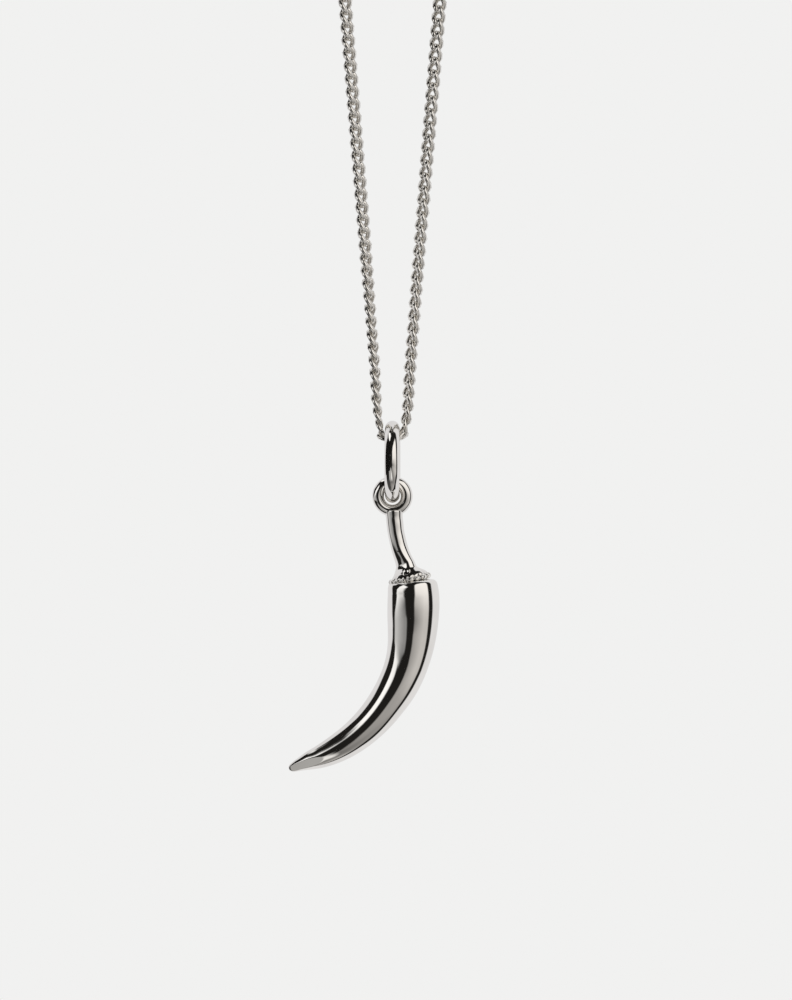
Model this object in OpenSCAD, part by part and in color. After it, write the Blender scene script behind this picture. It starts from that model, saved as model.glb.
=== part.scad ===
// Chili pepper charm necklace: a silver chili that hangs from a bail ring on a fine curb chain.
// Millimetres, +Z up. The loop of chain lies in the XZ plane, with its front towards -Y.
// The origin is where the necklace hangs: the inside of the chain at the top of the loop.

/* [Chain] */
// Width of the flat chain across its links
chain_width = 1.6; // [1.4:0.05:1.6]
// Thickness of the flat chain
chain_thickness = 0.9; // [0.8:0.05:0.9]
// Width that the links close up to where they bend under the bail ring
bend_width = 1.2; // [1:0.02:1.2]

/* [Bail ring] */
// Outer diameter of the ring
bail_outer = 9.2; // [9:0.1:9.4]
// Thickness of the ring's round wire
bail_wire = 1.6; // [1.4:0.05:1.6]
// Turn of the ring about the vertical, away from edge-on
bail_turn = 2; // [0:0.2:3]

/* [Charm] */
// Outer diameter of the eye on top of the stem
eye_outer = 4.54; // [4.5:0.02:4.6]
// Thickness of the eye's wire
eye_wire = 1.34; // [1.2:0.02:1.34]
// Width of the pod at its thickest
pod_width = 5.9; // [5.5:0.05:6.3]
// Thickness of the stem below the eye
stem_width = 1.9; // [1.7:0.02:2]
// Number of curled sepals round the calyx
sepals = 16; // [12:1:18]
// How far a sepal curls up at its tip
sepal_lift = 0.3; // [0.1:0.02:0.4]

/* [Clasp] */
// Outer diameter of the spring ring
clasp_outer = 5.4; // [5:0.1:5.6]
// Thickness of the spring ring's tube
clasp_wire = 1.2; // [1:0.05:1.3]

/* [Hidden] */

// Running gap between pieces that hang in one another
hang_gap = 0.08;

// Height of the centre of the bail's upper wire, where the chain bends round it
bend_z = -212;
// Height of the centre of the bail's lower wire, where the eye hangs
bail_mean = (bail_outer - bail_wire) / 2;
eye_pivot_z = bend_z - 2 * bail_mean;

// Right half of the chain's route, from under the bail ring up to the top of the loop.
// Columns: x, z, turn of the flat side on the right strand, the same on the left strand,
// and how much of the way the width has closed up. A turn of 0 shows the flat to the front.
ROUTE_X = 0;
ROUTE_Z = 1;
ROUTE_RIGHT_TURN = 2;
ROUTE_LEFT_TURN = 3;
ROUTE_CLOSED = 4;
half_route = [
    [0, -213.45, 90, 90, 1],
    [0.74, -213.25, 90, 90, 1],
    [1.29, -212.73, 88, 90, 1],
    [1.48, -212, 78, 88, 0.9],
    [1.65, -210, 45, 75, 0.5],
    [1.94, -206, 8, 35, 0],
    [2.4, -200, 0, 5, 0],
    [4.02, -180, 0, 0, 0],
    [8.92, -120, 0, 0, 0],
    [13, -70, 0, 0, 0],
    [15.12, -44.1, 20, 20, 0],
    [15.86, -35.1, 40, 40, 0],
    [17.24, -18.3, 90, 90, 0],
    [16.71, -12.37, 90, 90, 0],
    [14.17, -6.93, 90, 90, 0],
    [9.92, -2.68, 90, 90, 0],
    [5.35, -0.4, 90, 90, 0],
    [0, 0.45, 90, 90, 0],
];
// Rows where the chain ends below the clasp and begins again above it
clasp_low_row = 10;
clasp_high_row = 11;
// Longest step between two rings of the chain's tube, on the straight and near the bend
chain_step = 9;
bend_step = 2;
bend_reach = 14;
chain_sides = 8;

// Centreline of the stem, from the eye down, measured from the eye's pivot.
// Columns: x, z, thickness as a share of stem_width.
stem_rows = [
    [0.17, -1.7, 1],
    [0.2, -2.3, 1],
    [0.29, -3.2, 1],
    [0.38, -4, 0.985],
    [0.56, -4.9, 0.995],
    [0.79, -5.75, 1.01],
    [1.06, -6.6, 1.05],
    [1.28, -7.3, 1.12],
    [1.36, -7.7, 1.18],
];
// Centreline of the pod, from the calyx to the tip, measured from the eye's pivot.
// Columns: x, z, thickness as a share of pod_width.
pod_rows = [
    [2.01, -9.64, 0.7],
    [2.04, -9.78, 0.8],
    [2.09, -10.05, 0.88],
    [2.15, -10.5, 0.945],
    [2.23, -11.05, 0.98],
    [2.3, -11.9, 0.995],
    [2.3, -13.4, 0.985],
    [2.25, -15.1, 0.94],
    [2.07, -16.8, 0.89],
    [1.73, -18.4, 0.84],
    [1.22, -19.95, 0.805],
    [0.46, -21.55, 0.77],
    [-0.52, -23.1, 0.725],
    [-1.69, -24.65, 0.684],
    [-3.03, -26.07, 0.641],
    [-4.57, -27.36, 0.594],
    [-6.26, -28.45, 0.535],
    [-7.96, -29.29, 0.448],
    [-9.5, -29.86, 0.34],
    [-10.5, -30.26, 0.242],
    [-11.1, -30.52, 0.185],
    [-11.4, -30.64, 0.144],
    [-11.58, -30.71, 0.093],
    [-11.65, -30.74, 0.041],
];
// Longest step between two rings of the stem and of the pod
charm_step = 1;
// Points round each ring of the charm: three to a sepal
charm_sides = 3 * sepals;

// Centre of the calyx's underside, and the lean of its axis away from the vertical
calyx = [2, -9.6];
calyx_lean = 11;
// Section of the calyx from the foot of the stem down to the pod, in rings about its axis.
// Columns: height above the underside, radius, reach of the sepals, share of their lift,
// shift of the ring towards +X.
calyx_rings = [
    [1.6, 1.17, 0, 0, -0.33],
    [1.35, 1.24, 0, 0, -0.42],
    [1.1, 1.36, 0, 0, -0.41],
    [0.85, 1.52, 0, 0, -0.37],
    [0.6, 1.7, 0, 0, -0.32],
    [0.42, 1.84, 0.02, 0.1, -0.22],
    [0.34, 1.92, 0.22, 0.7, -0.12],
    [0.28, 1.92, 0.4, 1, -0.05],
    [0.14, 1.88, 0.46, 0.8, 0],
    [0.02, 1.88, 0.28, 0.3, 0],
];

// Height of the spring ring's centre, between the two ends of the chain
clasp_z = -40;

// Radii that follow from the sizes above
eye_mean = (eye_outer - eye_wire) / 2;
eye_z = eye_pivot_z - (eye_mean - eye_wire / 2 - bail_wire / 2 - hang_gap);
clasp_mean = (clasp_outer - clasp_wire) / 2;

// Lean of the straight strands, and the point where they leave the bend
strand_slope = 0.0817;
strand_lean = atan(strand_slope);
strand_foot_x = 1.395;
strand_foot_z = -212.11;
function strand_x(z) = strand_foot_x + strand_slope * (z - strand_foot_z);

// Eyelet fixed on the spring ring's upper side, and the ring that hooks into its lower side
eyelet_mean = 0.8;
eyelet_wire = 0.5;
hook_mean = 1.15;
hook_wire = 0.6;
// Depth that the pieces of the clasp run into one another
clasp_bite = 0.1;
eyelet_z = (clasp_outer + eyelet_wire) / 2 + eyelet_mean - clasp_bite;
hook_drop = clasp_mean - (clasp_wire + hook_wire) / 2 + hook_mean + clasp_bite;

// Distance between two rows in the XZ plane, from their first two columns
function gap(a, b) = norm([b[0] - a[0], b[1] - a[1]]);

// Slope of a smooth curve at row i, for each column, per millimetre along it
function slope(rows, i) =
    i == 0 ? (rows[1] - rows[0]) / gap(rows[0], rows[1])
    : i == len(rows) - 1 ? (rows[i] - rows[i - 1]) / gap(rows[i - 1], rows[i])
    : let (
        before = gap(rows[i - 1], rows[i]),
        after = gap(rows[i], rows[i + 1])
    )
    ((rows[i + 1] - rows[i]) * before / after + (rows[i] - rows[i - 1]) * after / before)
        / (before + after);

// Row at share t of the way from row i to the next, on a smooth curve through all rows
function between(rows, i, t) =
    let (length = gap(rows[i], rows[i + 1]))
    (2 * t ^ 3 - 3 * t ^ 2 + 1) * rows[i]
        + (t ^ 3 - 2 * t ^ 2 + t) * length * slope(rows, i)
        + (3 * t ^ 2 - 2 * t ^ 3) * rows[i + 1]
        + (t ^ 3 - t ^ 2) * length * slope(rows, i + 1);

// Rows with more put between them, so that no step is longer than `step`, or than
// `low_step` below the height `low_z`
function fill(rows, step, low_step, low_z) = [
    for (i = [0:len(rows) - 2])
        let (
            low = min(rows[i][1], rows[i + 1][1]) < low_z,
            pieces = ceil(gap(rows[i], rows[i + 1]) / (low ? low_step : step))
        )
        for (k = [0:pieces - 1]) between(rows, i, k / pieces),
    rows[len(rows) - 1],
];

// Direction of travel in the XZ plane at row i, as [dx, dz]
function heading(rows, i) =
    let (
        a = rows[max(i - 1, 0)],
        b = rows[min(i + 1, len(rows) - 1)]
    )
    [b[0] - a[0], b[1] - a[1]] / gap(a, b);

// Closed tube through rings of points, with every ring given as one list of points
module tube(rings) {
    sides = len(rings[0]);
    last = (len(rings) - 1) * sides;
    walls = [
        for (i = [0:len(rings) - 2], k = [0:sides - 1])
            let (
                a = i * sides + k,
                b = i * sides + (k + 1) % sides
            )
            each [[a, b, b + sides], [a, b + sides, a + sides]]
    ];
    start = [for (k = [0:sides - 1]) sides - 1 - k];
    finish = [for (k = [0:sides - 1]) last + k];
    polyhedron(points = [for (ring = rings) each ring], faces = concat([start], walls, [finish]));
}

// Torus about Z
module ring(mean, wire) {
    rotate_extrude($fn = 96)
        translate([mean, 0])
            circle(d = wire, $fn = 48);
}

// One row of the chain's tube: x, z, turn of the flat side, how far the width has closed up
function right_row(row) = [row[ROUTE_X], row[ROUTE_Z], row[ROUTE_RIGHT_TURN], row[ROUTE_CLOSED]];
function left_row(row) = [-row[ROUTE_X], row[ROUTE_Z], -row[ROUTE_LEFT_TURN], row[ROUTE_CLOSED]];

// Whole route: from above the clasp over the top, down the left strand, under the bail ring
// and up the right strand to the clasp
top_row = len(half_route) - 1;
chain_route = concat(
    [for (i = [clasp_high_row:top_row - 1]) right_row(half_route[i])],
    [[half_route[top_row][ROUTE_X], half_route[top_row][ROUTE_Z], 90, 0]],
    [for (i = [top_row - 1:-1:1]) left_row(half_route[i]) + [0, 0, 180, 0]],
    [for (i = [0:clasp_low_row]) right_row(half_route[i])]
);

function chain_ring(rows, i) =
    let (
        row = rows[i],
        way = heading(rows, i),
        turn = row[2],
        half_w = (chain_width + (bend_width - chain_width) * row[3]) / 2,
        half_t = chain_thickness / 2
    )
    [
        for (k = [0:chain_sides - 1])
            let (
                angle = -360 * (k + 0.5) / chain_sides,
                wide = half_w * cos(angle),
                thick = half_t * sin(angle),
                inward = wide * cos(turn) - thick * sin(turn),
                across = wide * sin(turn) + thick * cos(turn)
            )
            [row[0] + inward * way[1], across, row[1] - inward * way[0]]
    ];

module chain() {
    rows = fill(chain_route, chain_step, bend_step, bend_z + bend_reach);
    color("silver")
        tube([for (i = [0:len(rows) - 1]) chain_ring(rows, i)]);
}

module clasp() {
    color("silver")
        translate([strand_x(clasp_z), 0, clasp_z])
            rotate([0, strand_lean, 0]) {
                rotate([90, 0, 0])
                    ring(clasp_mean, clasp_wire);
                translate([0, 0, eyelet_z])
                    rotate([90, 0, 0])
                        ring(eyelet_mean, eyelet_wire);
                translate([0, 0, -hook_drop])
                    rotate([0, 90, 0])
                        ring(hook_mean, hook_wire);
            }
}

module bail_ring() {
    color("silver")
        translate([0, 0, bend_z - bail_mean])
            rotate([0, 0, -bail_turn])
                rotate([0, 90, 0])
                    ring(bail_mean, bail_wire);
}

// Ring of points round the charm's centreline. Lean turns its axis from straight down
// towards +X, reach pushes the sepals out and lift raises them.
function charm_ring(x, z, lean, radius, reach = 0, lift = 0) = [
    for (k = [0:charm_sides - 1])
        let (
            angle = 360 * k / charm_sides,
            crest = (1 + cos(sepals * angle)) / 2,
            out = radius + reach * crest,
            up = lift * crest
        )
        [
            x + out * cos(angle) * cos(lean) - up * sin(lean),
            out * sin(angle),
            eye_pivot_z + z + out * cos(angle) * sin(lean) + up * cos(lean),
        ]
];

function lean_of(way) = atan2(way[0], -way[1]);

// Rings along rows of x, z and share of a full width
function swept_rings(rows, width) = [
    for (i = [0:len(rows) - 1])
        charm_ring(rows[i][0], rows[i][1], lean_of(heading(rows, i)), rows[i][2] * width / 2)
];

function calyx_ring(row) =
    charm_ring(
        calyx[0] - row[0] * sin(calyx_lean) + row[4] * cos(calyx_lean),
        calyx[1] + row[0] * cos(calyx_lean) + row[4] * sin(calyx_lean),
        calyx_lean,
        row[1],
        row[2],
        row[3] * sepal_lift
    );

module chili_charm() {
    color("silver")
        union() {
            translate([0, 0, eye_z])
                rotate([90, 0, 0])
                    ring(eye_mean, eye_wire);
            tube(concat(
                swept_rings(fill(stem_rows, charm_step, charm_step, 0), stem_width),
                [for (row = calyx_rings) calyx_ring(row)],
                swept_rings(fill(pod_rows, charm_step, charm_step, 0), pod_width)
            ));
        }
}

chain();
clasp();
bail_ring();
chili_charm();
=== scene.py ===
import math

import bmesh
import bpy
import numpy as np
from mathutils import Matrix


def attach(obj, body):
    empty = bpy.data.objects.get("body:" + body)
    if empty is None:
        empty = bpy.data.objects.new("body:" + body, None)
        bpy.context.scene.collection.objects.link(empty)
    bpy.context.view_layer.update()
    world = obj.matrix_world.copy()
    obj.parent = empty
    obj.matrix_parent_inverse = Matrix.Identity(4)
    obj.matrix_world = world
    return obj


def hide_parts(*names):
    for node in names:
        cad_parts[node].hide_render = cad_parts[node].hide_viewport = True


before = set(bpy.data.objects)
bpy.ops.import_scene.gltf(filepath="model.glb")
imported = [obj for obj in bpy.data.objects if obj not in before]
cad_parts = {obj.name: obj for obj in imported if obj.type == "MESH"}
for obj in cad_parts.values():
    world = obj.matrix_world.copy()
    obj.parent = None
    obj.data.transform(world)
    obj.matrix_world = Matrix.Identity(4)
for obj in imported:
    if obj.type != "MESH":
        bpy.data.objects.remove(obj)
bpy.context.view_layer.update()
print("frame loaded")

mm = 0.001

camera = {
    "aim": (0.00040, 0.0, -0.22008),  # what the middle of the picture shows
    "distance": 0.5625,
    "lens": 180,
    "sensor": 36,
    "clip": (0.01, 50),
}


def addCamera():
    data = bpy.data.cameras.new("camera")
    data.lens = camera["lens"]
    data.sensor_width = camera["sensor"]
    data.clip_start, data.clip_end = camera["clip"]
    obj = bpy.data.objects.new("camera", data)
    x, y, z = camera["aim"]
    obj.location = (x, y - camera["distance"], z)
    obj.rotation_euler = (math.radians(90), 0, 0)
    bpy.context.scene.collection.objects.link(obj)
    bpy.context.scene.camera = obj


addCamera()
bpy.context.scene.view_settings.view_transform = "Standard"


def addNode(tree, kind, **settings):
    made = tree.nodes.new(kind)
    for name, value in settings.items():
        setattr(made, name, value)
    return made


def feed(tree, socket, value):  # value is a number, a colour or another node's output
    if isinstance(value, bpy.types.NodeSocket):
        tree.links.new(value, socket)
    else:
        socket.default_value = value


def calc(tree, operation, *values):
    made = addNode(tree, "ShaderNodeMath", operation=operation)
    for socket, value in zip(made.inputs, values):
        feed(tree, socket, value)
    return made.outputs[0]


def remap(tree, value, low, high, toLow=0.0, toHigh=1.0, smooth=True):
    made = addNode(tree, "ShaderNodeMapRange")
    if smooth:
        made.interpolation_type = "SMOOTHSTEP"
    for name, amount in (("Value", value), ("From Min", low), ("From Max", high),
                         ("To Min", toLow), ("To Max", toHigh)):
        feed(tree, made.inputs[name], amount)
    return made.outputs["Result"]


def blendColours(tree, share, first, second):
    made = addNode(tree, "ShaderNodeMix", data_type="RGBA")
    feed(tree, made.inputs[0], share)
    for socket, colour in ((made.inputs[6], first), (made.inputs[7], second)):
        feed(tree, socket, colour if isinstance(colour, bpy.types.NodeSocket) else (*colour, 1))
    return made.outputs[2]


# Directions are azimuth (0 towards the camera, + to its right) and elevation, in degrees.
# A card's left and right edge are softness and azimuth, each either one number or a line of
# (elevation, amount) stops; its low and high edge are elevation and softness; its light is a
# list of (elevation, brightness), which "across" dims step by step from one azimuth to another,
# down to the share given for each elevation.
studio = {
    "backdrop": (0.879, 0.879, 0.872),
    "dark": (0.013, 0.012, 0.011),
    "widest": 200,  # the largest azimuth or softness that a line of stops may hold
    "cards": {
        "lowLeft": {
            "left": (6, -125),
            "right": (8, [(-70, -20), (-32, -32)]),
            "low": (-95, 1),
            "high": (-38, 6),
            "light": [(-90, 0.36), (-72, 0.06)],
            "tint": (1.0, 0.97, 0.93),
        },
        "rearLeft": {
            "left": (1, -200),
            "right": (4, [(-40, -100), (-6, -105), (-2, -108), (3, -112), (12, -113), (18, -114),
                          (24, -109), (30, -101), (37, -101), (42, -108), (47, -113), (60, -120)]),
            "low": (-95, 1),
            "high": (62, 5),
            "light": [(0, 0.735)],
            "tint": (1.0, 0.986, 0.995),
        },
        "rearRight": {
            "left": (3.5, [(-60, 96), (-53, 102), (-48, 95), (-42, 89), (-36, 90), (-28, 93),
                           (-22, 97), (-12, 97), (-3, 95), (8, 93), (20, 97), (35, 102),
                           (50, 110)]),
            "right": (1, 200),
            "low": (-95, 1),
            "high": (73, 4),
            "light": [(0, 0.75)],
            "tint": (1.0, 0.986, 0.985),
        },
        "upperLeft": {
            "left": (4, [(50, -118), (60, -110), (66, -100), (75, -95)]),
            "right": (4, [(50, -58), (56, -50), (62, -50), (75, -45)]),
            "low": (52, 3),
            "high": (74, 4),
            "light": [(0, 1.1)],
            "tint": (1.0, 0.99, 0.975),
        },
        "leftBox": {
            "left": (3, [(-14, -93), (-2, -90), (0, -84), (4, -79), (11, -71), (17, -66), (21, -60),
                         (24, -57), (28, -55), (32, -54), (36, -51), (41, -47), (48, -43)]),
            "right": ([(-10, 4), (0, 5), (6, 7), (20, 7)],
                      [(-12, -28), (-7, -29), (-4, -34), (0, -37), (3, -40), (5, -46), (9, -39),
                       (12, -34), (15, -30), (19, -29), (23, -35), (26, -41), (30, -45), (33, -51),
                       (36, -56), (48, -56)]),
            "low": (-13, 3),
            "high": (45, 3),
            "light": [(-13, 0.5), (-5, 0.52), (-2, 0.6), (2, 0.9), (4, 1.0), (6, 1.06), (26, 1.06),
                      (31, 0.9), (35, 0.45), (39, 0.16), (45, 0.12)],
            "across": (-78, -38, [(-10, 0.52), (-7, 0.5), (-4, 0.4), (0, 0.2), (3, 0.3), (5, 0.65),
                                  (11, 0.85), (14, 0.95), (18, 1), (45, 1)]),
            "tint": (1.0, 0.99, 0.975),
        },
        "rightBox": {
            "left": (4, [(-60, -42), (-42, -30), (-34, -8), (-26, 3), (-14, 3), (-9, 6), (-5, 5),
                         (0, 4), (8, 7), (25, 7), (36, 12), (44, 20), (50, 40)]),
            "right": (3.5, [(-58, 67), (-51, 71), (-46, 69), (-40, 68), (-34, 68), (-27, 72),
                            (-22, 76), (-16, 75), (-8, 73), (4, 71), (9, 71), (42, 76), (58, 80)]),
            "low": (-95, 1),
            "high": (52, 4),
            "light": [(-90, 0.44), (-66, 0.42), (-57, 0.25), (-50, 0.26), (-42, 0.3), (-37, 0.38),
                      (-30, 0.47), (-20, 0.58), (-12, 0.53), (-8, 0.56), (-3, 0.67), (2, 0.76),
                      (6, 0.84), (9, 0.9), (15, 0.95), (30, 0.99)],
            "across": (50, 5, [(-60, 0.6), (-40, 0.5), (-25, 0.5), (-18, 0.58), (-13, 0.6),
                               (-10, 0.36), (-6, 0.42), (-2, 0.6), (4, 0.7), (8, 0.95), (30, 1)]),
            "tint": (1.0, 0.962, 0.92),
        },
        "wedge": {
            "left": (4, [(-60, -38), (-40, -50), (-25, -48), (-15, -44)]),
            "right": (4, [(-60, 22), (-40, 5), (-25, -7), (-15, -12)]),
            "low": (-52, 8),
            "high": (-17, 4),
            "light": [(-90, 0.85), (0, 0.85)],
            "across": (-10, -19, [(-60, 0.46), (0, 0.46)]),
            "tint": (1.0, 0.98, 0.95),
        },
    },
}


def upShare(elevation):  # 0 straight down, 1 straight up
    return (elevation + 90) / 180


def bentLine(tree, height, stops):  # an amount in degrees that changes with height
    if isinstance(stops, (int, float)):
        return float(stops)
    widest = float(studio["widest"])
    made = addNode(tree, "ShaderNodeFloatCurve")
    made.mapping.extend = "HORIZONTAL"
    points = made.mapping.curves[0].points
    while len(points) < len(stops):
        points.new(0.5, 0.5)
    for point, (elevation, amount) in zip(points, stops):
        point.location = (upShare(elevation), (amount + widest) / (2 * widest))
        point.handle_type = "AUTO_CLAMPED"
    made.mapping.update()
    feed(tree, made.inputs["Value"], height)
    return calc(tree, "MULTIPLY_ADD", made.outputs[0], 2 * widest, -widest)


def edge(tree, azimuth, height, line, falling=False):
    soft = bentLine(tree, height, line[0])
    past = calc(tree, "SUBTRACT", azimuth, bentLine(tree, height, line[1]))
    before = calc(tree, "MULTIPLY", soft, -1.0)
    ends = (1.0, 0.0) if falling else (0.0, 1.0)
    return remap(tree, past, before, soft, *ends)


def cardLight(tree, azimuth, height, card):
    light, tint = card["light"], np.array(card["tint"])
    if len(light) == 1:
        return tuple(light[0][1] * tint)
    ramp = addNode(tree, "ShaderNodeValToRGB")
    feed(tree, ramp.inputs[0], height)
    stops = ramp.color_ramp.elements
    while len(stops) < len(light):
        stops.new(0.5)
    for stop, (elevation, bright) in zip(stops, light):
        stop.position = upShare(elevation)
        stop.color = (*(bright * tint), 1)
    if "across" not in card:
        return ramp.outputs[0]
    begins, ends, dimmest = card["across"]
    dim = remap(tree, azimuth, begins, ends, 1.0, bentLine(tree, height, dimmest), smooth=False)
    return blendColours(tree, dim, (0, 0, 0), ramp.outputs[0])


def paintWorld():
    world = bpy.data.worlds.new("studio")
    world.use_nodes = True
    world.cycles.sampling_method = "NONE"
    tree = world.node_tree
    tree.nodes.clear()
    way = addNode(tree, "ShaderNodeSeparateXYZ")
    feed(tree, way.inputs[0], addNode(tree, "ShaderNodeTexCoord").outputs["Generated"])
    towards = calc(tree, "MULTIPLY", way.outputs["Y"], -1.0)
    azimuth = calc(tree, "DEGREES", calc(tree, "ARCTAN2", way.outputs["X"], towards))
    elevation = calc(tree, "DEGREES", calc(tree, "ARCSINE", way.outputs["Z"]))
    height = remap(tree, elevation, -90.0, 90.0, smooth=False)
    seen = studio["dark"]
    for card in studio["cards"].values():
        share = calc(tree, "MULTIPLY", edge(tree, azimuth, height, card["left"]),
                     edge(tree, azimuth, height, card["right"], falling=True))
        for side, ends in (("low", (0.0, 1.0)), ("high", (1.0, 0.0))):
            middle, soft = card[side]
            limit = remap(tree, elevation, middle - soft, middle + soft, *ends)
            share = calc(tree, "MULTIPLY", share, limit)
        seen = blendColours(tree, share, seen, cardLight(tree, azimuth, height, card))
    mirrored = addNode(tree, "ShaderNodeLightPath").outputs["Is Glossy Ray"]
    shade = addNode(tree, "ShaderNodeBackground")
    feed(tree, shade.inputs["Color"], blendColours(tree, mirrored, studio["backdrop"], seen))
    output = addNode(tree, "ShaderNodeOutputWorld")
    tree.links.new(shade.outputs[0], output.inputs[0])
    bpy.context.scene.world = world


keyLight = {
    "size": 0.5,
    "place": (-0.45, -0.6, 0.35),
    "power": 3,
}


def addKeyLight():
    data = bpy.data.lights.new("softKey", "AREA")
    data.size = keyLight["size"]
    data.energy = keyLight["power"]
    obj = bpy.data.objects.new("softKey", data)
    obj.location = keyLight["place"]
    aim = bpy.context.scene.camera.location.copy()
    aim.y = 0
    obj.rotation_euler = (aim - obj.location).to_track_quat("-Z", "Y").to_euler()
    obj.visible_glossy = False
    bpy.context.scene.collection.objects.link(obj)


floor = {
    "height": -0.45,
    "radius": 1.6,
    "sides": 128,
    "tones": ((0.93, 0.93, 0.92), (0.95, 0.95, 0.94)),
    "grainScale": 40,
    "roughness": 0.85,
    "shine": 0.2,
}


def addFloor():
    mesh = bpy.data.meshes.new("floor")
    shape = bmesh.new()
    bmesh.ops.create_circle(shape, cap_ends=True, segments=floor["sides"], radius=floor["radius"])
    bmesh.ops.translate(shape, verts=shape.verts, vec=(0, 0, floor["height"]))
    shape.to_mesh(mesh)
    shape.free()
    material = bpy.data.materials.new("paleFloor")
    material.use_nodes = True
    tree = material.node_tree
    shader = tree.nodes["Principled BSDF"]
    grain = addNode(tree, "ShaderNodeTexNoise")
    feed(tree, grain.inputs["Vector"], addNode(tree, "ShaderNodeTexCoord").outputs["Object"])
    grain.inputs["Scale"].default_value = floor["grainScale"]
    tone = blendColours(tree, grain.outputs["Fac"], *floor["tones"])
    feed(tree, shader.inputs["Base Color"], tone)
    shader.inputs["Roughness"].default_value = floor["roughness"]
    shader.inputs["Specular IOR Level"].default_value = floor["shine"]
    mesh.materials.append(material)
    obj = bpy.data.objects.new("floor", mesh)
    obj.visible_glossy = False  # the metal mirrors the studio's cards instead
    bpy.context.scene.collection.objects.link(obj)


# black cards close to the metal, seen only by what mirrors them, in millimetres
bailFlag = {
    "middle": (-0.1, -4.2),  # it bends round this point
    "radius": 3.2,
    "spread": (-112, -27),
    "strips": 24,
    "heights": (-218.0, -209.5),
}
footFlag = {  # a level one over the foot of the stem
    "from": (-0.3, -2.8),
    "to": (0.8, -1.3),
    "height": -226.0,
}


def addFlag(name, pairs):  # a strip of card through pairs of points
    mesh = bpy.data.meshes.new(name)
    verts = [tuple(np.array(point) * mm) for pair in pairs for point in pair]
    starts = range(0, 2 * len(pairs) - 2, 2)
    mesh.from_pydata(verts, [], [(i, i + 1, i + 3, i + 2) for i in starts])
    material = bpy.data.materials.new("blackFelt")
    material.use_nodes = True
    shader = material.node_tree.nodes["Principled BSDF"]
    shader.inputs["Base Color"].default_value = (*studio["dark"], 1)
    shader.inputs["Roughness"].default_value = 1
    shader.inputs["Specular IOR Level"].default_value = 0
    mesh.materials.append(material)
    obj = bpy.data.objects.new(name, mesh)
    obj.visible_camera = False
    obj.visible_diffuse = False
    obj.visible_shadow = False
    bpy.context.scene.collection.objects.link(obj)


def addFlags():
    (x, y), reach = bailFlag["middle"], bailFlag["radius"]
    low, high = bailFlag["heights"]
    pairs = []
    for azimuth in np.radians(np.linspace(*bailFlag["spread"], bailFlag["strips"] + 1)):
        right = x + reach * math.sin(azimuth)
        front = y - reach * math.cos(azimuth)
        pairs.append([(right, front, low), (right, front, high)])
    addFlag("bailFlag", pairs)
    (left, front), (right, back) = footFlag["from"], footFlag["to"]
    height = footFlag["height"]
    addFlag("footFlag", [[(left, front, height), (left, back, height)],
                         [(right, front, height), (right, back, height)]])


paintWorld()
addKeyLight()
addFloor()
addFlags()
print("camera, light and floor made")


polish = {  # what every silver here has in common
    "cloudDetail": 3,
    "cloudSpan": (0.35, 0.65),
    "markDetail": 5,
    "markSpan": (0.3, 0.75),
    "bumpDepth": 0.00002,
}


def silver(name, look):
    material = bpy.data.materials.new(name)
    material.use_nodes = True
    tree = material.node_tree
    shader = tree.nodes["Principled BSDF"]
    shader.inputs["Metallic"].default_value = 1.0
    place = addNode(tree, "ShaderNodeTexCoord").outputs["Object"]

    cloud = addNode(tree, "ShaderNodeTexNoise")  # slow change of tone over the polished metal
    feed(tree, cloud.inputs["Vector"], place)
    cloud.inputs["Scale"].default_value = look["cloudScale"]
    cloud.inputs["Detail"].default_value = polish["cloudDetail"]
    share = remap(tree, cloud.outputs["Fac"], *polish["cloudSpan"])
    tone = blendColours(tree, share, look["tone"], look["deepTone"])

    stretch = addNode(tree, "ShaderNodeMapping")  # fine polishing marks, drawn out along the metal
    feed(tree, stretch.inputs["Vector"], place)
    stretch.inputs["Rotation"].default_value = look["markTurn"]
    stretch.inputs["Scale"].default_value = look["markStretch"]
    marks = addNode(tree, "ShaderNodeTexNoise")
    feed(tree, marks.inputs["Vector"], stretch.outputs[0])
    marks.inputs["Scale"].default_value = look["markScale"]
    marks.inputs["Detail"].default_value = polish["markDetail"]
    rough = remap(tree, marks.outputs["Fac"], *polish["markSpan"], *look["roughness"], smooth=False)

    # painted shade: deeper places are darker, as far as the piece's own attribute says, and they are
    # also rougher
    recess = addNode(tree, "ShaderNodeAttribute", attribute_name="recess").outputs["Fac"]
    darker = calc(tree, "MULTIPLY", recess, look["paintedShadeShare"])
    tone = blendColours(tree, darker, tone, look["paintedShadeTone"])
    rough = calc(tree, "ADD", rough, calc(tree, "MULTIPLY", recess, look["recessRough"]))
    feed(tree, shader.inputs["Base Color"], tone)
    feed(tree, shader.inputs["Roughness"], rough)

    bump = addNode(tree, "ShaderNodeBump")
    bump.inputs["Strength"].default_value = look["bump"]
    bump.inputs["Distance"].default_value = polish["bumpDepth"]
    feed(tree, bump.inputs["Height"], marks.outputs["Fac"])
    feed(tree, shader.inputs["Normal"], bump.outputs["Normal"])
    return material


def slopes(rows, gaps):  # along a smooth curve through rows, per millimetre
    steps = np.diff(rows, axis=0) / gaps[:, None]
    middle = steps[1:] * gaps[:-1, None] + steps[:-1] * gaps[1:, None]
    middle = middle / (gaps[:-1] + gaps[1:])[:, None]
    return np.vstack([steps[:1], middle, steps[-1:]])


def smoothRows(rows, step):  # more rows between the given ones, on a smooth curve through them
    rows = np.array(rows, float)
    gaps = np.hypot(*np.diff(rows[:, :2], axis=0).T)
    lean = slopes(rows, gaps)
    made = []
    for i, gap in enumerate(gaps):
        count = max(1, math.ceil(gap / step))
        for t in np.arange(count) / count:
            made.append((2 * t**3 - 3 * t**2 + 1) * rows[i] + (t**3 - 2 * t**2 + t) * gap * lean[i]
                        + (3 * t**2 - 2 * t**3) * rows[i + 1] + (t**3 - t**2) * gap * lean[i + 1])
    return np.array(made + [rows[-1]])


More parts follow.
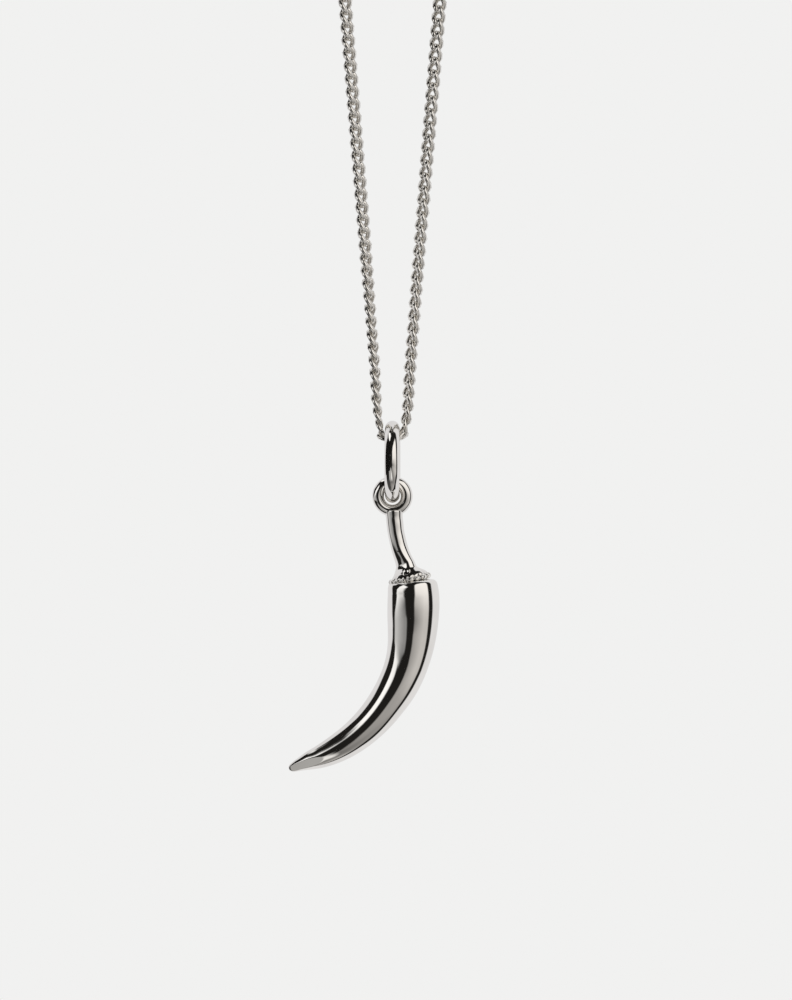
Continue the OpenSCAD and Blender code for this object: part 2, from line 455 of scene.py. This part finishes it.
def roundAngles(sides):  # even steps of a whole turn
    return np.linspace(0, 2 * math.pi, sides, endpoint=False)


def pathInPlane(rows):  # places along rows of x and z, and the direction square to the path
    level = np.zeros(len(rows))
    places = np.column_stack([rows[:, 0], level, rows[:, 1]])
    way = np.gradient(places, axis=0)
    way = way / np.linalg.norm(way, axis=1)[:, None]
    return places, np.column_stack([-way[:, 2], level, way[:, 0]])


def hoops(centres, sideways, across, radii, sides):
    # circles of points round each centre, in the plane of its two directions
    turn = roundAngles(sides)[None, :, None]
    radii = np.asarray(radii, float).reshape(len(centres), -1)
    radii = np.broadcast_to(radii, (len(centres), sides))
    spokes = np.cos(turn) * sideways[:, None] + np.sin(turn) * across[:, None]
    return centres[:, None] + radii[:, :, None] * spokes


def sweepInPlane(rows, width, sides, shape=1.0):  # rows of x, z and share of the width
    places, sideways = pathInPlane(rows)
    across = np.tile([0.0, 1.0, 0.0], (len(rows), 1))
    radii = rows[:, 2:3] * width / 2 * shape
    return hoops(places, sideways, across, radii, sides)


def ringTube(centre, mean, radius, count, sides, fromAngle=0, toAngle=360, plane="XZ", turn=0):
    # hoops of a tube bent round a centre, standing in the XZ or in the YZ plane
    whole = toAngle - fromAngle == 360
    angle = np.radians(np.linspace(fromAngle, toAngle, count, endpoint=not whole))
    spin = math.radians(turn)
    level, square = (1, 0, 0), (0, 1, 0)
    if plane == "YZ":
        level = (math.sin(spin), -math.cos(spin), 0)
        square = (math.cos(spin), math.sin(spin), 0)
    radial = np.outer(np.cos(angle), level) + np.outer(np.sin(angle), (0, 0, 1))
    across = np.tile(np.array(square, float), (count, 1))
    centres = np.array(centre) + mean * radial
    return hoops(centres, radial, across, np.broadcast_to(radius, count), sides)


def hoopFaces(count, sides, loop=False):
    faces = []
    for i in range(count if loop else count - 1):
        a = i * sides
        b = (i + 1) % count * sides
        for k in range(sides):
            n = (k + 1) % sides
            faces.append((a + k, a + n, b + n, b + k))
    return faces


def solidObject(name, verts, faces):  # faces turned outwards and shaded smooth
    mesh = bpy.data.meshes.new(name)
    mesh.from_pydata([tuple(p * mm) for p in verts], [], faces)
    shape = bmesh.new()
    shape.from_mesh(mesh)
    bmesh.ops.recalc_face_normals(shape, faces=shape.faces)
    shape.to_mesh(mesh)
    shape.free()
    mesh.polygons.foreach_set("use_smooth", [True] * len(mesh.polygons))
    obj = bpy.data.objects.new(name, mesh)
    bpy.context.scene.collection.objects.link(obj)
    return obj


def settle(obj, body, node, slot):
    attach(obj, body)
    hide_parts(node)


def addPiece(name, rings, material, body, node, slot, loop=False, recess=0.0):
    # a run of hoops, closed by a fan at both ends unless it loops; recess is 1 deep in a groove, where
    # the silver gets its painted shade
    count, sides = rings.shape[:2]
    verts = rings.reshape(-1, 3)
    depths = np.broadcast_to(recess, (count, sides)).reshape(-1)
    faces = hoopFaces(count, sides, loop)
    if not loop:
        lastHoop = (count - 1) * sides
        verts = np.vstack([verts, rings[0].mean(axis=0), rings[-1].mean(axis=0)])
        depths = np.append(depths, depths[[0, lastHoop]])
        for pole, start, order in ((count * sides, 0, -1), (count * sides + 1, lastHoop, 1)):
            for k in range(sides):
                n = (k + 1) % sides
                faces.append((pole, *(start + k, start + n)[::order]))
    obj = solidObject(name, verts, faces)
    attribute = obj.data.attributes.new("recess", "FLOAT", "POINT")
    attribute.data.foreach_set("value", depths.astype(np.float32))
    obj.data.materials.append(material)
    settle(obj, body, node, slot)


# sizes of the pieces are in millimetres and degrees; the charm's x and z count from its pivot,
# and a mean is the radius of a ring along the middle of its wire
charm = {
    "pivot": (0.0, 0.0, -219.6),
    "eyeMean": 1.6,
    "eyeWire": 1.34,
    "eyeDrop": 0.05,  # of the eye's centre below the pivot
    "eyeHoops": 96,
    "eyeSides": 32,
    "stemWidth": 1.9,
    "stemSides": 96,
    "stemStep": 0.15,
    "stemCap": [(0.105, 0.5), (0.1, 0.78), (0.085, 0.88), (0.05, 0.96)],  # rise, share of the width
    "stem": [  # x, z and share of the width, bulge at the right of its front, way forward
        [0.17, -1.7, 1.05, 0, 0],
        [0.18, -1.95, 1.03, 0, 0],
        [0.2, -2.3, 1, 0, 0],
        [0.29, -3.2, 1, 0, 0],
        [0.38, -4, 0.985, 0, 0],
        [0.56, -4.9, 0.99, 0, 0],
        [0.77, -5.75, 0.995, 0, 0],
        [1.04, -6.6, 1.01, 0.04, 0.03],
        [1.28, -7.25, 1.04, 0.11, 0.06],
        [1.43, -7.65, 1.08, 0.16, 0.09],
    ],
    "podWidth": 5.9,
    "podSides": 128,
    "podStep": 0.2,
    "pod": [  # x, z and share of the width
        [2.21, -9.56, 0.5],
        [2.214, -9.59, 0.72],
        [2.22, -9.65, 0.85],
        [2.23, -9.78, 0.9],
        [2.25, -10.0, 0.935],
        [2.3, -10.45, 0.962],
        [2.35, -11.0, 0.978],
        [2.37, -11.9, 0.992],
        [2.33, -13.4, 0.985],
        [2.25, -15.1, 0.945],
        [2.07, -16.8, 0.89],
        [1.73, -18.4, 0.84],
        [1.22, -19.95, 0.805],
        [0.46, -21.55, 0.77],
        [-0.52, -23.1, 0.725],
        [-1.69, -24.65, 0.684],
        [-3.03, -26.07, 0.641],
        [-4.57, -27.36, 0.594],
        [-6.26, -28.45, 0.535],
        [-7.96, -29.29, 0.448],
        [-9.5, -29.86, 0.34],
        [-10.5, -30.26, 0.242],
        [-11.1, -30.52, 0.185],
        [-11.4, -30.64, 0.144],
        [-11.58, -30.71, 0.093],
        [-11.65, -30.74, 0.041],
    ],
    "tipFacet": {  # a flat on the front of the tip: a point on it, and which way it faces
        "from": (-7.9, -1.27, -29.55),
        "left": 10,
        "down": 16,
        "share": 0.96,  # how much of what stands past it is taken off
    },
    "calyx": (2.0, -9.6),  # middle of its underside
    "calyxLean": 11,
    "skirtStep": 0.06,
    # the grooves' darkness is painted shade, not a colour of the metal
    "fullRidge": 0.05,  # depth of ridge from which the grooves are as dark as they get
    # height over the calyx's underside, shift to +X, radius, depth of ridges, bulge, way forward
    "skirt": [
        [1.62, -0.18, 1.12, 0, 0.17, 0.1],
        [1.5, -0.17, 1.17, 0, 0.15, 0.1],
        [1.4, -0.16, 1.25, 0, 0.13, 0.1],
        [1.3, -0.12, 1.35, 0, 0.1, 0.09],
        [1.16, -0.05, 1.51, 0, 0.06, 0.07],
        [1.0, 0.03, 1.69, 0.005, 0.03, 0.04],
        [0.84, 0.08, 1.84, 0.01, 0, 0.02],
        [0.7, 0.08, 1.94, 0.02, 0, 0],
        [0.55, 0.05, 2.0, 0.03, 0, 0],
        [0.4, 0.02, 2.02, 0.035, 0, 0],
        [0.2, 0, 2.01, 0.03, 0, 0],
        [0.04, 0, 1.94, 0.02, 0, 0],
        [-0.02, 0, 1.75, 0, 0, 0],
        [-0.04, 0, 1.3, 0, 0, 0],
    ],
    "sepals": 16,
    "sepalSpread": 0.08,  # how far their sizes differ
    "frontSepals": 0.8,  # height of those at the front and back, as a share of the side ones
    "sepalSeed": 4,
    "sepalSides": 12,
    "sepalStep": 0.09,
    "sepalDish": 0.02,  # how far its middle is hollowed
    "sepal": [  # distance from the calyx's middle, height, half width, half thickness
        [1.5, 0.3, 0.24, 0.1],
        [1.75, 0.16, 0.33, 0.12],
        [1.97, 0.07, 0.39, 0.13],
        [2.13, 0.07, 0.425, 0.135],
        [2.25, 0.17, 0.43, 0.135],
        [2.28, 0.3, 0.42, 0.135],
        [2.2, 0.41, 0.39, 0.13],
        [2.07, 0.46, 0.35, 0.12],
        [1.95, 0.41, 0.28, 0.105],
        [1.92, 0.33, 0.2, 0.085],
    ],
}
charmLook = {
    "tone": (0.95, 0.935, 0.91),
    "deepTone": (0.90, 0.885, 0.86),
    "cloudScale": 300,
    "markTurn": (0, 0.5, 0),
    "markStretch": (1, 1, 0.15),
    "markScale": 9000,
    "roughness": (0.03, 0.07),
    # painted shade: the dark tone and how much of it goes where the recess attribute says a place is
    # deep
    "paintedShadeTone": (0.45, 0.43, 0.4),
    "paintedShadeShare": 0.8,
    "recessRough": 0.15,
    "bump": 0.02,
}
# the sepals' tone is a little lighter than the charm's silver: a painted brightening so they read as
# pale as they look lit; the higher roughness blurs their reflections
sepalLook = dict(
    charmLook,
    tone=(0.97, 0.955, 0.92),
    deepTone=(0.93, 0.915, 0.875),
    roughness=(0.2, 0.28),
)


def bulged(turn, amount):  # share of a tube's radius, largest at the right of its front and opposite
    return 1 + amount * np.cos(2 * turn + math.pi / 2)


def skirtHoops():
    # the radius stands beside the height, so that the step is measured along the slope
    rows = smoothRows(np.array(charm["skirt"])[:, [0, 2, 1, 3, 4, 5]], charm["skirtStep"])
    turn = roundAngles(charm["stemSides"])
    lean = math.radians(charm["calyxLean"])
    side = np.array([math.cos(lean), 0, math.sin(lean)])
    up = np.array([-math.sin(lean), 0, math.cos(lean)])
    middle = np.array(charm["pivot"]) + [charm["calyx"][0], 0, charm["calyx"][1]]
    ridge = np.cos(charm["sepals"] * turn)
    spokes = np.outer(np.cos(turn), side) + np.outer(np.sin(turn), (0, 1, 0))
    rings, recess = [], []
    for height, radius, shift, depth, bulge, forward in rows:
        reach = radius * bulged(turn, bulge) + depth * ridge
        centre = middle + height * up + shift * side - [0, forward, 0]
        rings.append(centre + reach[:, None] * spokes)
        # painted shade in the grooves between ridges, fuller where the ridges stand taller
        recess.append(np.clip((1 - ridge) / 2, 0, 1) * min(1, depth / charm["fullRidge"]))
    return np.array(rings), np.array(recess)


def sepalHoops():  # one sepal at the origin, pointing outwards along +X
    rows = smoothRows(charm["sepal"], charm["sepalStep"])
    places, above = pathInPlane(rows)
    turn = roundAngles(charm["sepalSides"])
    dish = -charm["sepalDish"] * (1 - np.cos(turn) ** 2)
    rings = []
    for place, normal, (_, _, halfWidth, halfThick) in zip(places, above, rows):
        sideways = np.outer(np.cos(turn), (0, halfWidth, 0))
        upwards = (np.sin(turn) * halfThick + dish)[:, None] * normal
        rings.append(place + sideways + upwards)
    return np.array(rings)


def sepalObject():
    rings = sepalHoops()
    count, sides = rings.shape[:2]
    firstEnd = tuple(range(sides))[::-1]
    lastEnd = tuple((count - 1) * sides + k for k in range(sides))
    faces = hoopFaces(count, sides) + [firstEnd, lastEnd]
    return solidObject("sepalShape", rings.reshape(-1, 3), faces)


def newTree(name, inputs):
    # keys holds the identifier of each input, by which the modifier sets it
    tree = bpy.data.node_groups.new(name, "GeometryNodeTree")
    tree.interface.new_socket("Geometry", in_out="INPUT", socket_type="NodeSocketGeometry")
    tree.interface.new_socket("Geometry", in_out="OUTPUT", socket_type="NodeSocketGeometry")
    keys = {}
    for label, kind in inputs.items():
        socket = tree.interface.new_socket(label, in_out="INPUT", socket_type=kind)
        keys[label] = socket.identifier
    start = addNode(tree, "NodeGroupInput")
    end = addNode(tree, "NodeGroupOutput")
    return tree, keys, start, end


def finishTree(tree, geometry, start, end):
    whole = addNode(tree, "GeometryNodeRealizeInstances")
    tree.links.new(geometry, whole.inputs["Geometry"])
    paint = addNode(tree, "GeometryNodeSetMaterial")
    tree.links.new(whole.outputs[0], paint.inputs["Geometry"])
    tree.links.new(start.outputs["Material"], paint.inputs["Material"])
    tree.links.new(paint.outputs[0], end.inputs[0])


def bake(obj, tree, keys, values, name):  # the modifier's result as a plain mesh
    modifier = obj.modifiers.new("nodes", "NODES")
    modifier.node_group = tree
    for label, value in values.items():
        modifier[keys[label]] = value
    evaluated = obj.evaluated_get(bpy.context.evaluated_depsgraph_get())
    mesh = bpy.data.meshes.new_from_object(evaluated)
    mesh.name = name
    obj.modifiers.clear()
    bpy.data.objects.remove(obj)
    made = bpy.data.objects.new(name, mesh)
    bpy.context.scene.collection.objects.link(made)
    return made


def aroundTree():
    # copies of the shape round an upright axis, then leaned and moved into place
    tree, keys, start, end = newTree("repeat round a ring", {
        "Count": "NodeSocketInt",
        "First Angle": "NodeSocketFloat",
        "Size Spread": "NodeSocketFloat",
        "Front Height": "NodeSocketFloat",
        "Lean": "NodeSocketFloat",
        "Place": "NodeSocketVector",
        "Seed": "NodeSocketInt",
        "Material": "NodeSocketMaterial",
    })
    points = addNode(tree, "GeometryNodePoints")
    feed(tree, points.inputs["Count"], start.outputs["Count"])
    index = addNode(tree, "GeometryNodeInputIndex").outputs[0]
    step = calc(tree, "DIVIDE", 2 * math.pi, start.outputs["Count"])
    angle = calc(tree, "ADD", calc(tree, "MULTIPLY", index, step), start.outputs["First Angle"])
    turn = addNode(tree, "ShaderNodeCombineXYZ")
    feed(tree, turn.inputs["Z"], angle)
    spread = addNode(tree, "FunctionNodeRandomValue", data_type="FLOAT")
    feed(tree, spread.inputs[2], calc(tree, "SUBTRACT", 1.0, start.outputs["Size Spread"]))
    feed(tree, spread.inputs[3], calc(tree, "ADD", 1.0, start.outputs["Size Spread"]))
    feed(tree, spread.inputs["Seed"], start.outputs["Seed"])
    size = addNode(tree, "ShaderNodeCombineXYZ")
    feed(tree, size.inputs["X"], 1.0)
    feed(tree, size.inputs["Y"], spread.outputs[1])
    sideways = calc(tree, "ABSOLUTE", calc(tree, "COSINE", angle))
    sideBegins = 0.6  # 0 at the front, 1 at the side
    height = remap(tree, sideways, sideBegins, 1.0, start.outputs["Front Height"], 1.0)
    feed(tree, size.inputs["Z"], calc(tree, "MULTIPLY", spread.outputs[1], height))
    copies = addNode(tree, "GeometryNodeInstanceOnPoints")
    tree.links.new(points.outputs[0], copies.inputs["Points"])
    tree.links.new(start.outputs["Geometry"], copies.inputs["Instance"])
    feed(tree, copies.inputs["Rotation"], turn.outputs[0])
    feed(tree, copies.inputs["Scale"], size.outputs[0])
    tilt = addNode(tree, "ShaderNodeCombineXYZ")
    feed(tree, tilt.inputs["Y"], calc(tree, "MULTIPLY", start.outputs["Lean"], -1.0))
    lay = addNode(tree, "GeometryNodeTransform")
    tree.links.new(copies.outputs[0], lay.inputs["Geometry"])
    feed(tree, lay.inputs["Translation"], start.outputs["Place"])
    feed(tree, lay.inputs["Rotation"], tilt.outputs[0])
    finishTree(tree, lay.outputs[0], start, end)
    return tree, keys


def flattenTip(rings):  # brings what stands past the facet's plane back almost onto it
    facet = charm["tipFacet"]
    left, down = math.radians(facet["left"]), math.radians(facet["down"])
    level = [-math.sin(left) * math.cos(down), -math.cos(left) * math.cos(down)]
    outwards = np.array([*level, -math.sin(down)])
    past = (rings - charm["pivot"] - facet["from"]) @ outwards
    return rings - facet["share"] * np.clip(past, 0, None)[:, :, None] * outwards


def stemHoops():
    rows = smoothRows(charm["stem"], charm["stemStep"])
    way = rows[0, :2] - rows[1, :2]
    way = way / np.linalg.norm(way)
    cap = [[*(rows[0, :2] + way * rise), rows[0, 2] * share, 0, 0]
           for rise, share in charm["stemCap"]]
    rows = np.vstack([cap, rows])
    shape = bulged(roundAngles(charm["stemSides"]), rows[:, 3:4])
    rings = sweepInPlane(rows, charm["stemWidth"], charm["stemSides"], shape) + charm["pivot"]
    rings[:, :, 1] -= rows[:, 4:]
    return rings


def makeCharm():
    metal = silver("charmSilver", charmLook)
    place = ("charm", "chili_charm", "charm_silver")  # body, CAD node and material slot
    eyeCentre = np.array(charm["pivot"]) - [0, 0, charm["eyeDrop"]]
    eye = ringTube(eyeCentre, charm["eyeMean"], charm["eyeWire"] / 2,
                   charm["eyeHoops"], charm["eyeSides"])
    addPiece("charmEye", eye, metal, *place, loop=True)

    stem = stemHoops()
    skirt, recess = skirtHoops()
    recess = np.concatenate([np.zeros(stem.shape[:2]), recess])
    surface = np.concatenate([stem, skirt])  # stem and skirt are one cast surface
    addPiece("charmStem", surface, metal, *place, recess=recess)

    tree, keys = aroundTree()
    x, z = charm["calyx"]
    sepals = bake(sepalObject(), tree, keys, {
        "Count": charm["sepals"],
        "First Angle": math.radians(-90),
        "Size Spread": charm["sepalSpread"],
        "Front Height": charm["frontSepals"],
        "Lean": math.radians(charm["calyxLean"]),
        "Place": (x * mm, 0, (charm["pivot"][2] + z) * mm),
        "Seed": charm["sepalSeed"],
        "Material": silver("sepalSilver", sepalLook),
    }, "charmSepals")
    settle(sepals, *place)

    rows = smoothRows(charm["pod"], charm["podStep"])
    pod = sweepInPlane(rows, charm["podWidth"], charm["podSides"]) + charm["pivot"]
    addPiece("charmPod", flattenTip(pod), metal, *place)


makeCharm()
print("charm made")

bail = {
    "bendHeight": -212.0,  # centre of the upper wire
    "mean": 3.8,
    "wire": 1.67,
    "turn": -1,  # about the upright, away from the camera's line
    "hoops": 160,
    "sides": 48,
}
bailLook = dict(charmLook, markStretch=(1, 1, 0.2))


def makeBail():
    metal = silver("bailSilver", bailLook)
    centre = (0, 0, bail["bendHeight"] - bail["mean"])
    rings = ringTube(centre, bail["mean"], bail["wire"] / 2, bail["hoops"], bail["sides"],
                     plane="YZ", turn=bail["turn"])
    addPiece("bailRing", rings, metal, "bail", "bail_ring", "bail_silver", loop=True)


makeBail()
print("bail ring made")

chain = {
    "pitch": 1.45,
    "linkWidth": 1.74,
    "linkLength": 2.65,
    "wire": 0.6,
    "twist": -70,  # turn of a link's end away from its middle, in degrees
    "bends": 14,
    "sides": 5,
    # the hole's darkness is painted shade, deepest at the first share and gone by the second
    "hole": (0.7, 1.1),  # shares of the oval's size at which the metal is darkest and lightest
    "closedShare": 0.73,  # width of a link where the chain bends under the bail's top
    "routeStep": 0.5,
    "halfRoute": [  # x, z, turn on the right strand and on the left strand, how far it has closed
        [0, -213.42, 90, 90, 1],
        [0.6, -213.3, 90, 90, 1],
        [1.0, -212.93, 92, 88, 1],
        [1.26, -212.4, 97, 85, 1],
        [1.38, -211.9, 104, 80, 0.9],
        [1.52, -211.2, 114, 76, 0.7],
        [1.7, -209.8, 118, 72, 0.3],
        [1.94, -206, 120, 72, 0],
        [2.4, -200, 121, 68, 0],
        [3.2, -190, 128, 46, 0],
        [4.02, -180, 142, 42, 0],
        [8.92, -120, 142, 42, 0],
        [13, -70, 142, 50, 0],
        [15.12, -44.1, 142, 70, 0],
        [15.86, -35.1, 40, 40, 0],
        [17.24, -18.3, 90, 90, 0],
        [16.71, -12.37, 90, 90, 0],
        [14.17, -6.93, 90, 90, 0],
        [9.92, -2.68, 90, 90, 0],
        [5.35, -0.4, 90, 90, 0],
        [0, 0.45, 90, 90, 0],
    ],
    "endsAt": 13,  # row below the clasp
    "startsAt": 14,  # row above the clasp
}
chainLook = dict(
    charmLook,
    tone=(1.0, 0.98, 0.94),
    deepTone=(0.96, 0.94, 0.9),
    roughness=(0.10, 0.2),
    # painted shade in the links' holes: how much dark tone goes in, and which
    paintedShadeShare=0.7,
    paintedShadeTone=(0.55, 0.51, 0.45),
    bump=0.05,
)


def chainRoute():
    # the left strand is the right one mirrored, so its turn counts back from 180
    rows = chain["halfRoute"]
    right = [[x, z, turn, closed] for x, z, turn, _, closed in rows]
    left = [[-x, z, 180 - turn, closed] for x, z, _, turn, closed in rows]
    whole = right[chain["startsAt"]:] + left[-2:0:-1] + right[:chain["endsAt"] + 1]
    return smoothRows(whole, chain["routeStep"])


def diagonal(tree, x, y):
    squares = [calc(tree, "MULTIPLY", side, side) for side in (x, y)]
    return calc(tree, "SQRT", calc(tree, "ADD", *squares))


def linksTree():
    # one twisted oval link, repeated at even steps along the route
    tree, keys, start, end = newTree("links along a chain", {
        "Link Count": "NodeSocketInt",
        "Link Width": "NodeSocketFloat",
        "Link Length": "NodeSocketFloat",
        "Wire Thickness": "NodeSocketFloat",
        "End Twist": "NodeSocketFloat",
        "Bends": "NodeSocketInt",
        "Sides": "NodeSocketInt",
        "Material": "NodeSocketMaterial",
    })
    wire = start.outputs["Wire Thickness"]
    halfWidth = calc(tree, "MULTIPLY", calc(tree, "SUBTRACT", start.outputs["Link Width"], wire), 0.5)
    halfLength = calc(tree, "MULTIPLY", calc(tree, "SUBTRACT", start.outputs["Link Length"], wire), 0.5)
    circle = addNode(tree, "GeometryNodeCurvePrimitiveCircle")
    feed(tree, circle.inputs["Resolution"], start.outputs["Bends"])
    feed(tree, circle.inputs["Radius"], 1.0)
    spot = addNode(tree, "ShaderNodeSeparateXYZ")
    feed(tree, spot.inputs[0], addNode(tree, "GeometryNodeInputPosition").outputs[0])
    oval = addNode(tree, "ShaderNodeCombineXYZ")
    feed(tree, oval.inputs["Y"], calc(tree, "MULTIPLY", spot.outputs["X"], halfWidth))
    feed(tree, oval.inputs["Z"], calc(tree, "MULTIPLY", spot.outputs["Y"], halfLength))
    twisted = addNode(tree, "ShaderNodeVectorRotate", rotation_type="Z_AXIS")
    twist = calc(tree, "MULTIPLY", spot.outputs["Y"], start.outputs["End Twist"])
    feed(tree, twisted.inputs["Vector"], oval.outputs[0])
    feed(tree, twisted.inputs["Angle"], twist)
    bent = addNode(tree, "GeometryNodeSetPosition")
    tree.links.new(circle.outputs[0], bent.inputs["Geometry"])
    feed(tree, bent.inputs["Position"], twisted.outputs[0])
    profile = addNode(tree, "GeometryNodeCurvePrimitiveCircle")
    feed(tree, profile.inputs["Resolution"], start.outputs["Sides"])
    feed(tree, profile.inputs["Radius"], calc(tree, "MULTIPLY", wire, 0.5))
    solid = addNode(tree, "GeometryNodeCurveToMesh")
    tree.links.new(bent.outputs[0], solid.inputs["Curve"])
    tree.links.new(profile.outputs[0], solid.inputs["Profile Curve"])
    smooth = addNode(tree, "GeometryNodeSetShadeSmooth")
    tree.links.new(solid.outputs[0], smooth.inputs["Geometry"])

    # how deep a point lies in the link's hole: 1 on the inside of the wire, 0 on the outside; it sets
    # the painted shade in the hole
    at = addNode(tree, "ShaderNodeSeparateXYZ")
    feed(tree, at.inputs[0], addNode(tree, "GeometryNodeInputPosition").outputs[0])
    wide = diagonal(tree, at.outputs["X"], at.outputs["Y"])
    wide = calc(tree, "DIVIDE", wide, halfWidth)
    tall = calc(tree, "DIVIDE", at.outputs["Z"], halfLength)
    depth = remap(tree, diagonal(tree, wide, tall), *chain["hole"], 1.0, 0.0)
    stored = addNode(tree, "GeometryNodeStoreNamedAttribute", data_type="FLOAT", domain="POINT")
    tree.links.new(smooth.outputs[0], stored.inputs["Geometry"])
    stored.inputs["Name"].default_value = "recess"
    feed(tree, stored.inputs["Value"], depth)

    points = addNode(tree, "GeometryNodeCurveToPoints", mode="COUNT")
    tree.links.new(start.outputs["Geometry"], points.inputs["Curve"])
    feed(tree, points.inputs["Count"], start.outputs["Link Count"])
    narrow = addNode(tree, "ShaderNodeCombineXYZ")
    share = addNode(tree, "GeometryNodeInputRadius").outputs[0]
    feed(tree, narrow.inputs["X"], share)
    feed(tree, narrow.inputs["Y"], share)
    feed(tree, narrow.inputs["Z"], 1.0)
    copies = addNode(tree, "GeometryNodeInstanceOnPoints")
    tree.links.new(points.outputs["Points"], copies.inputs["Points"])
    tree.links.new(stored.outputs[0], copies.inputs["Instance"])
    tree.links.new(points.outputs["Rotation"], copies.inputs["Rotation"])
    feed(tree, copies.inputs["Scale"], narrow.outputs[0])
    finishTree(tree, copies.outputs[0], start, end)
    return tree, keys


def makeChain():
    rows = chainRoute()
    length = np.hypot(*np.diff(rows[:, :2], axis=0).T).sum()
    count = round(length / chain["pitch"]) + 1
    data = bpy.data.curves.new("chainRoute", "CURVE")
    data.dimensions = "3D"
    spline = data.splines.new("POLY")
    spline.points.add(len(rows) - 1)
    for point, (x, z, turn, closed) in zip(spline.points, rows):
        point.co = (x * mm, 0, z * mm, 1)
        point.tilt = math.radians(turn)
        point.radius = 1 + (chain["closedShare"] - 1) * closed
    route = bpy.data.objects.new("chainRoute", data)
    bpy.context.scene.collection.objects.link(route)
    tree, keys = linksTree()
    links = bake(route, tree, keys, {
        "Link Count": count,
        "Link Width": chain["linkWidth"] * mm,
        "Link Length": chain["linkLength"] * mm,
        "Wire Thickness": chain["wire"] * mm,
        "End Twist": math.radians(chain["twist"]),
        "Bends": chain["bends"],
        "Sides": chain["sides"],
        "Material": silver("chainSilver", chainLook),
    }, "chainLinks")
    settle(links, "chain", "chain", "chain_silver")
    print("chain of", count, "links,", len(links.data.polygons), "faces, route", round(length, 1), "mm")


makeChain()

clasp = {
    "place": (15.456, 0, -40.0),
    "lean": 4.67,
    "mean": 2.1,
    "tube": 0.6,  # radius, as for the rod, eyelet wire and hook wire
    "rod": 0.4,
    "tubeHoops": 120,
    "tubeSides": 24,
    "lip": (0.8, 0.94, 1.0),  # shares of the tube's radius at its open ends
    "rodHoops": 24,
    "rodSides": 20,
    "rodPast": 4,  # degrees by which the rod reaches into the tube
    "gate": (-25, 35),  # angles between which the tube is open, 0 towards +X
    "eyeletHeight": 3.65,
    "eyeletMean": 0.8,
    "eyeletWire": 0.25,
    "eyeletHoops": 48,
    "hookDrop": 2.45,
    "hookMean": 1.15,
    "hookWire": 0.3,
    "hookHoops": 64,
    "ringSides": 16,
}
claspLook = dict(charmLook, roughness=(0.05, 0.1))


def leaned(rings):  # from the clasp's own upright frame to its place on the strand
    angle = math.radians(clasp["lean"])
    x = rings[..., 0] * math.cos(angle) + rings[..., 2] * math.sin(angle)
    z = -rings[..., 0] * math.sin(angle) + rings[..., 2] * math.cos(angle)
    return np.stack([x, rings[..., 1], z], axis=-1) + np.array(clasp["place"])


def makeClasp():
    metal = silver("claspSilver", claspLook)
    place = ("chain", "clasp", "clasp_silver")
    mean, past = clasp["mean"], clasp["rodPast"]
    low, high = clasp["gate"]
    lip = np.array(clasp["lip"])
    tubeRadius = np.full(clasp["tubeHoops"], clasp["tube"])
    tubeRadius[:len(lip)] *= lip
    tubeRadius[-len(lip):] *= lip[::-1]
    tube = ringTube((0, 0, 0), mean, tubeRadius, clasp["tubeHoops"], clasp["tubeSides"],
                    high, low + 360)
    rod = ringTube((0, 0, 0), mean, clasp["rod"], clasp["rodHoops"], clasp["rodSides"],
                   low - past, high + past)
    eyelet = ringTube((0, 0, clasp["eyeletHeight"]), clasp["eyeletMean"], clasp["eyeletWire"],
                      clasp["eyeletHoops"], clasp["ringSides"])
    hook = ringTube((0, 0, -clasp["hookDrop"]), clasp["hookMean"], clasp["hookWire"],
                    clasp["hookHoops"], clasp["ringSides"], plane="YZ")
    addPiece("claspTube", leaned(tube), metal, *place)
    addPiece("claspRod", leaned(rod), metal, *place)
    addPiece("claspEyelet", leaned(eyelet), metal, *place, loop=True)
    addPiece("claspHookRing", leaned(hook), metal, *place, loop=True)


makeClasp()
print("clasp made")
